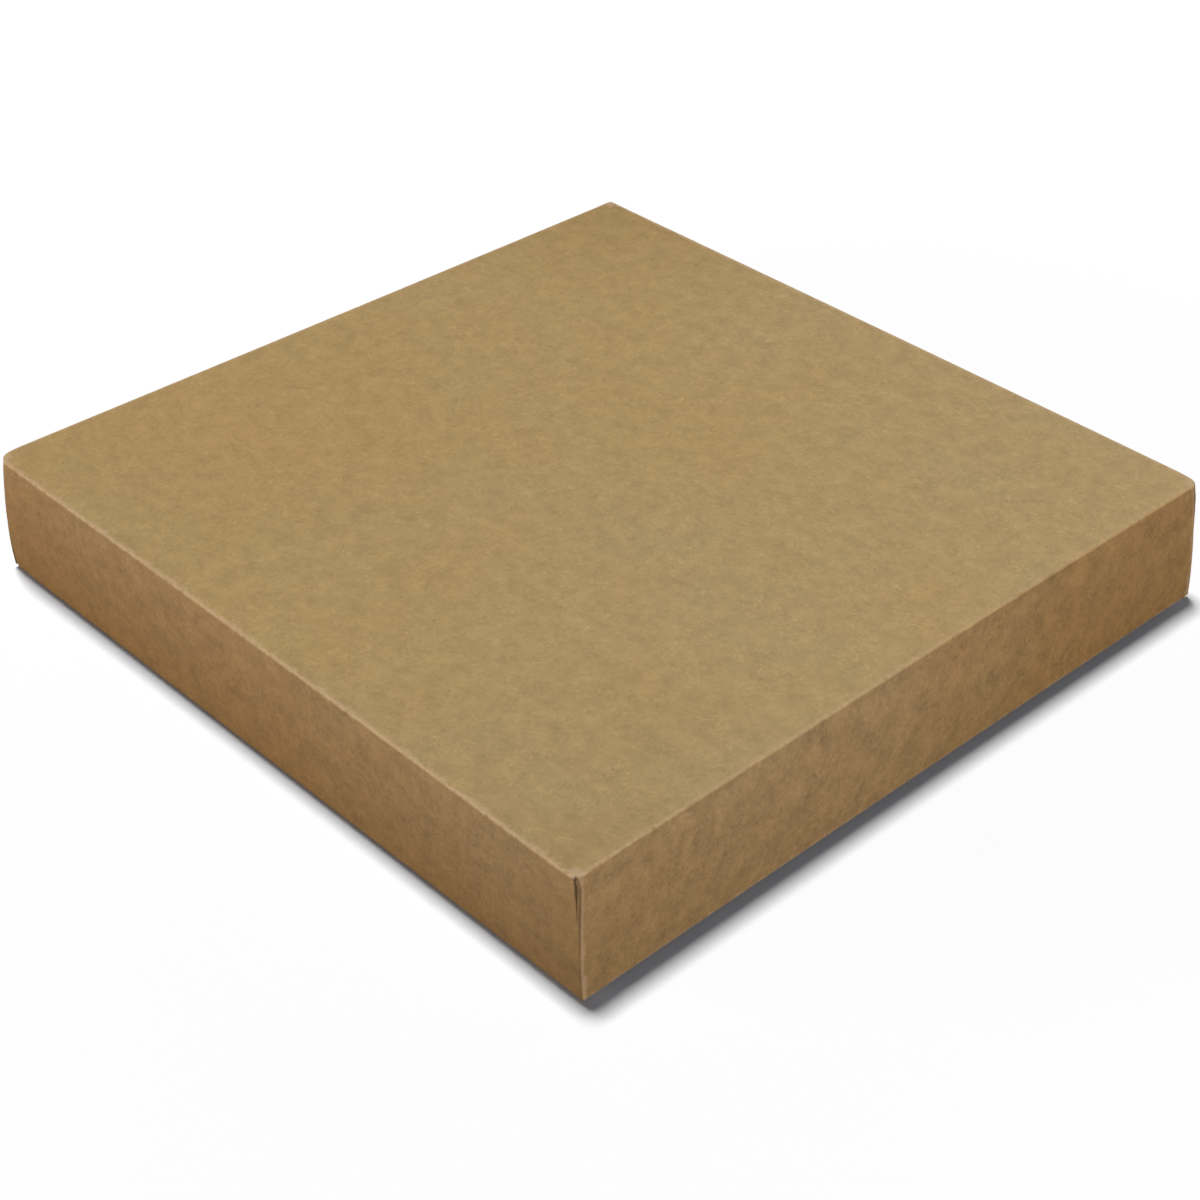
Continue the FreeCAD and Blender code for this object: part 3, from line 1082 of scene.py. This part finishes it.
@dataclass
class Studio:
    """The plain room round the box: a pale floor, soft lamps, a white background and the camera."""

    azimuth: float = math.radians(315.95)
    elevation: float = math.radians(36.10)
    roll: float = math.radians(0.82)
    distance: float = 0.69875
    target: tuple[float, float, float] = (0.0250, -0.0226, 0.0175)
    lens: float = 72.3
    sensor: float = 36.0
    clip: tuple[float, float] = (0.01, 50.0)
    floor_half: float = 1.1
    floor_lines: int = 9
    floor_drop: float = 0.1 * MM
    floor_bounce: Colour = (0.12, 0.10, 0.09)
    floor_glow: float = 0.12
    glow_from: float = 0.25
    glow_to: float = 0.55
    ambient: Colour = (0.85, 0.95, 1.1)
    ambient_strength: float = 0.05
    lamps: tuple[SoftBox, ...] = (
        SoftBox("overhead", (-2.5, 0.30, 12.0), (0.0, 0.0, 0.02), (1.9, 1.9), 1360.0),
        SoftBox("under", (0.0, 0.0, -2.0), (0.0, 0.0, 0.0), (1.2, 1.2), 22.0, (1.0, 0.95, 0.90)),
        SoftBox("front_fill", (-0.60, -1.25, 0.05), (-0.02, 0.0, 0.02), (0.9, 0.09), 10.3, (1.0, 0.86, 0.85)),
        SoftBox("right_fill", (1.15, -0.34, 0.045), (0.0, 0.0, 0.02), (0.7, 0.08), 8.05, (1.0, 0.90, 0.93)),
        SoftBox("back_fill", (-0.20, 1.40, 0.06), (0.0, 0.0, 0.02), (0.9, 0.11), 9.2, (1.0, 0.87, 0.87)),
        SoftBox("left_fill", (-1.35, 0.40, 0.06), (0.0, 0.0, 0.02), (0.9, 0.11), 6.6, (1.0, 0.87, 0.85)),
    )

    def build(self) -> None:
        """Makes everything, in the order floor, lamps, background, camera."""
        self.floor()
        for lamp in self.lamps:
            lamp.build()
        self.background()
        self.camera()
        bpy.context.scene.view_settings.view_transform = "Standard"

    def seen_directly(self, graph: Graph) -> Socket:
        """1 for the rays that show the background: straight from the camera, mirrored or passed on."""
        path = graph.add("LightPath")
        seen = graph.math("MAXIMUM", path.outputs["Is Camera Ray"], path.outputs["Is Glossy Ray"])
        return graph.math("MAXIMUM", seen, path.outputs["Is Transmission Ray"])

    def floor(self) -> bpy.types.Object:
        """The floor: a square grid just under the box, white to look at and duller in the light that it throws back.

        Far from the box it glows a little, so that its edge doesn't show. From below it isn't there, neither to look
        through nor for the lamp under it, so that the box can be looked at from underneath.

        Returns:
            The floor's object.
        """
        line = np.linspace(-self.floor_half, self.floor_half, self.floor_lines)
        x, y = np.meshgrid(line, line)
        points = np.stack([x.ravel(), y.ravel(), np.full(x.size, -self.floor_drop)], axis=-1)
        mesh = bpy.data.meshes.new("floor")
        mesh.from_pydata(points.tolist(), [], grid_cells(*x.shape)[:, ::-1].tolist())
        mesh.update()
        made = linked("floor", mesh)
        surface = bpy.data.materials.new("floor")
        surface.use_nodes = True
        graph = Graph(surface.node_tree)
        surface.node_tree.nodes.remove(surface.node_tree.nodes["Principled BSDF"])
        seen = self.seen_directly(graph)
        colour = graph.mix(seen, self.floor_bounce, WHITE)
        matt = graph.add("BsdfDiffuse", Color=colour)
        here = graph.add("TexCoord").outputs["Object"]
        far = graph.add("VectorMath", {"operation": "LENGTH"}, Vector=here).outputs["Value"]
        faded = graph.math("MULTIPLY", graph.ramp(far, self.glow_from, self.glow_to), self.floor_glow)
        glow = graph.add("Emission", Color=WHITE, Strength=graph.math("MULTIPLY", seen, faded))
        both = graph.add("AddShader")
        graph.feed_all(both.inputs, (matt.outputs["BSDF"], glow.outputs["Emission"]))
        below = graph.add("NewGeometry").outputs["Backfacing"]
        passed = graph.add("LightPath").outputs["Is Shadow Ray"]
        hidden = graph.math("MAXIMUM", below, passed)
        either = graph.add("MixShader")
        clear = graph.add("BsdfTransparent")
        graph.feed_all(either.inputs, (hidden, both.outputs["Shader"], clear.outputs["BSDF"]))
        graph.feed(surface.node_tree.nodes["Material Output"].inputs["Surface"], either.outputs["Shader"])
        mesh.materials.append(surface)
        return made

    def background(self) -> None:
        """White where it is seen, and a faint cool light from all round otherwise."""
        world = bpy.data.worlds.new("studio")
        world.use_nodes = True
        graph = Graph(world.node_tree)
        sky = world.node_tree.nodes["Background"]
        seen = self.seen_directly(graph)
        glow = tuple(part * self.ambient_strength for part in self.ambient)
        graph.feed(sky.inputs["Color"], graph.mix(seen, glow, WHITE))
        bpy.context.scene.world = world

    def camera(self) -> bpy.types.Object:
        """The camera, on its bearing from the target, turned a little about its own axis.

        Returns:
            The camera's object.
        """
        bearing = Vector((
            math.cos(self.elevation) * math.cos(self.azimuth),
            math.cos(self.elevation) * math.sin(self.azimuth),
            math.sin(self.elevation),
        ))
        data = bpy.data.cameras.new("camera")
        data.sensor_width, data.lens = self.sensor, self.lens
        data.clip_start, data.clip_end = self.clip
        made = linked("camera", data)
        look = (-bearing).to_track_quat("-Z", "Y").to_matrix()
        made.matrix_world = (
            Matrix.Translation(Vector(self.target) + bearing * self.distance)
            @ (look @ Matrix.Rotation(self.roll, 3, "Z")).to_4x4()
        )
        bpy.context.scene.camera = made
        return made


def main() -> None:
    """Builds the base and the lid, dresses them, and sets up the studio."""
    Studio().build()
    effects = PaperEffects()
    finishes = (
        PaperFinish(
            "outside", effects,
            paper=(0.390, 0.272, 0.124), far_paper=(0.376, 0.246, 0.098), rubbed=(0.51, 0.365, 0.215),
            thrown=(0.105, 0.112, 0.108),
        ),
        PaperFinish(
            "inside", effects,
            paper=(0.372, 0.255, 0.126), far_paper=(0.365, 0.240, 0.112), rubbed=(0.42, 0.31, 0.18),
            rub=0.35, pattern_shift=310.0,
        ),
        PaperFinish(
            "cut_edge", effects,
            paper=(0.35, 0.24, 0.118), far_paper=(0.34, 0.23, 0.105), rubbed=(0.38, 0.28, 0.16),
            rub=0.2, pattern_shift=70.0,
        ),
    )
    base_settling = Settling(
        front=WallStand(crease=(-0.2, -0.2, 0.0), rim=(-0.1, -0.1, 0.0)),
        right=WallStand(rim=(-0.3, 0.0, -0.7)),
        back=WallStand(rim=(-0.1, 0.1, 0.0)),
        left=WallStand(rim=(-0.1, -0.1, 0.0)),
    )
    lid_settling = Settling(
        front=WallStand(crease=(1.25, -0.15, -0.55), rim=(-0.1, -0.25, 0.15), belly=0.8),
        right=WallStand(crease=(-0.45, 0.0, -0.7), rim=(2.28, 0.38, -0.43), belly=0.4),
        back=WallStand(crease=(1.0, 1.6, 0.4), rim=(1.25, 0.15, 0.0), belly=0.4),
        left=WallStand(crease=(0.9, -1.4, -0.2), rim=(1.2, 0.0, 0.0), belly=1.1),
    )
    for tray in (
        FoldedTray("base", "base", Way.OPEN_UP, base_settling),
        FoldedTray("lid", "lid", Way.OPEN_DOWN, lid_settling),
    ):
        piece = tray.build()
        tray.dress(piece, finishes)
        LOG.info("%s: %d faces, rides on %s", piece.name, len(piece.data.polygons), tray.body)


if __name__ == "__main__":
    main()
